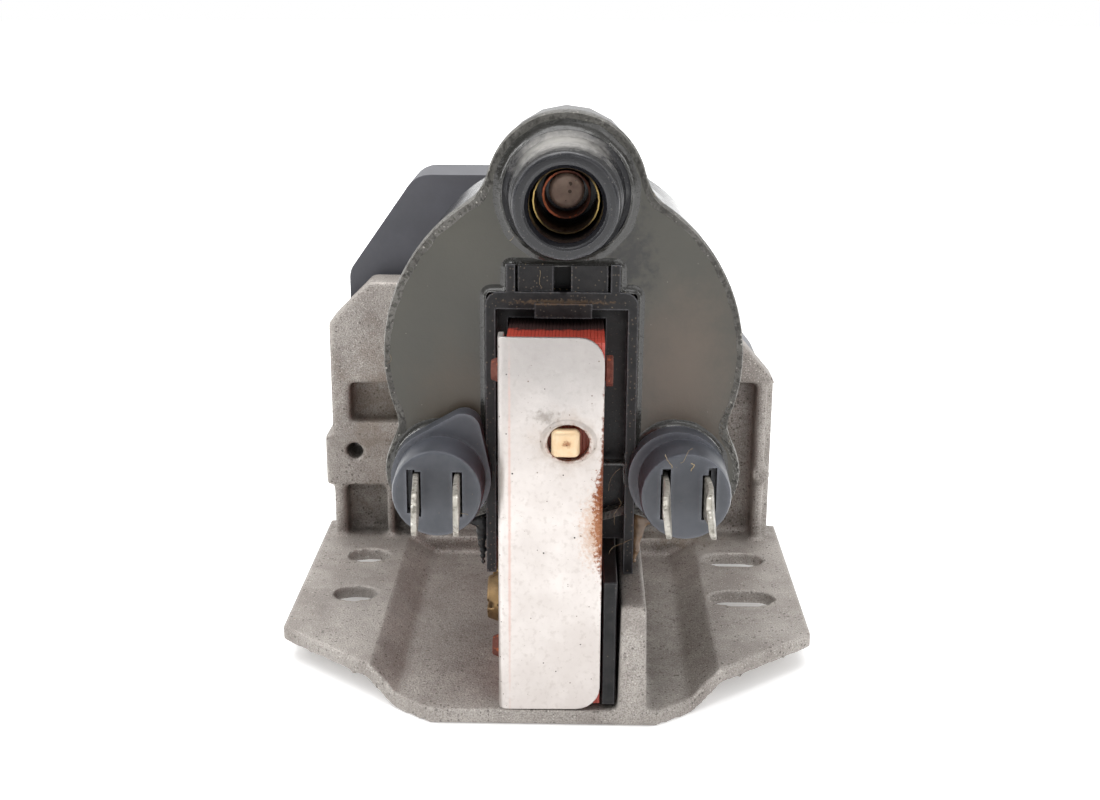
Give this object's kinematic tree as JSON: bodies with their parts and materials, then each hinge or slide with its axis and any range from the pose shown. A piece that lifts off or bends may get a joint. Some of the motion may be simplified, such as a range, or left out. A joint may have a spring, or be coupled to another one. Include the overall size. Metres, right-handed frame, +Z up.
{
  "type": "ignition coil",
  "caption": "Potted ignition coil round a closed laminated core, on a die-cast bracket with slotted wings and an amplifier module behind its wall.",
  "frame": {"origin": "middle of the bracket's four fixing slots, on the underside of its channel, which it stands on", "axes": "+Z up, +X to the right seen from the terminals, -Y the way the high-voltage tower and the blades point"},
  "size_m": [0.086, 0.1056, 0.0897],
  "materials": {
    "cast_aluminium": "sand-grained die casting, matt",
    "core_lacquer": "red insulating lacquer over steel laminations",
    "plated_steel": "bright plating with pits and rust at one edge",
    "stud_brass": "dull, worn",
    "black_plastic": "moulded, dusty",
    "tower_plastic": "moulded, satin gloss",
    "resin": "potting resin, satin, slightly see-through",
    "brass": "plain",
    "copper": "plain",
    "rusted_steel": "rusted",
    "terminal_plastic": "moulded, satin",
    "bobbin_plastic": "moulded",
    "shim_paper": "pressed insulating paper",
    "module_plastic": "moulded, fine matt grain",
    "plain_aluminium": "rolled",
    "pad_silicone": "heat-conducting pad",
    "board_ceramic": "unglazed",
    "chip_plastic": "moulded",
    "capacitor_film": "film",
    "bolt_bronze": "chromated, worn",
    "tinned_brass": "tin plated, dull",
    "screw_steel": "zinc plated"
  },
  "bodies": {
    "root": {"circuit_board": "board_ceramic", "coil_case": "black_plastic", "core_bolt_front": "bolt_bronze", "core_bolt_rear": "bolt_bronze", "core_channel": "black_plastic", "core_front_stack": "core_lacquer", "core_rear_stack": "core_lacquer", "core_rivet_front_lower": "rusted_steel", "core_rivet_front_upper": "rusted_steel", "core_rivet_rear_lower": "rusted_steel", "core_rivet_rear_upper": "rusted_steel", "core_spacer": "black_plastic", "core_strap": "plated_steel", "driver_chip": "chip_plastic", "gap_shim_lower": "shim_paper", "gap_shim_upper": "shim_paper", "hv_contact_pin": "rusted_steel", "hv_lead": "copper", "hv_terminal_cup": "copper", "hv_terminal_sleeve": "brass", "hv_tower": "tower_plastic", "module_housing": "module_plastic", "module_lid": "plain_aluminium", "module_screw_1": "screw_steel", "module_screw_2": "screw_steel", "module_screw_3": "screw_steel", "module_screw_4": "screw_steel", "mounting_bracket": "cast_aluminium", "noise_capacitor": "capacitor_film", "potting_resin": "resin", "power_transistor": "chip_plastic", "primary_bobbin": "bobbin_plastic", "primary_lead_left": "copper", "primary_lead_right": "copper", "primary_winding": "copper", "secondary_bobbin": "bobbin_plastic", "secondary_winding_1": "copper", "secondary_winding_2": "copper", "secondary_winding_3": "copper", "secondary_winding_4": "copper", "secondary_winding_5": "copper", "secondary_winding_6": "copper", "socket_pin_1": "tinned_brass", "socket_pin_2": "tinned_brass", "socket_pin_3": "tinned_brass", "socket_pin_4": "tinned_brass", "socket_pin_5": "tinned_brass", "socket_pin_6": "tinned_brass", "socket_pin_7": "tinned_brass", "strap_stud": "stud_brass", "terminal_blade_left_inner": "tinned_brass", "terminal_blade_left_outer": "tinned_brass", "terminal_blade_right_inner": "tinned_brass", "terminal_blade_right_outer": "tinned_brass", "terminal_boss_left": "terminal_plastic", "terminal_boss_right": "terminal_plastic", "thermal_pad": "pad_silicone"}
  },
  "joints": []
}
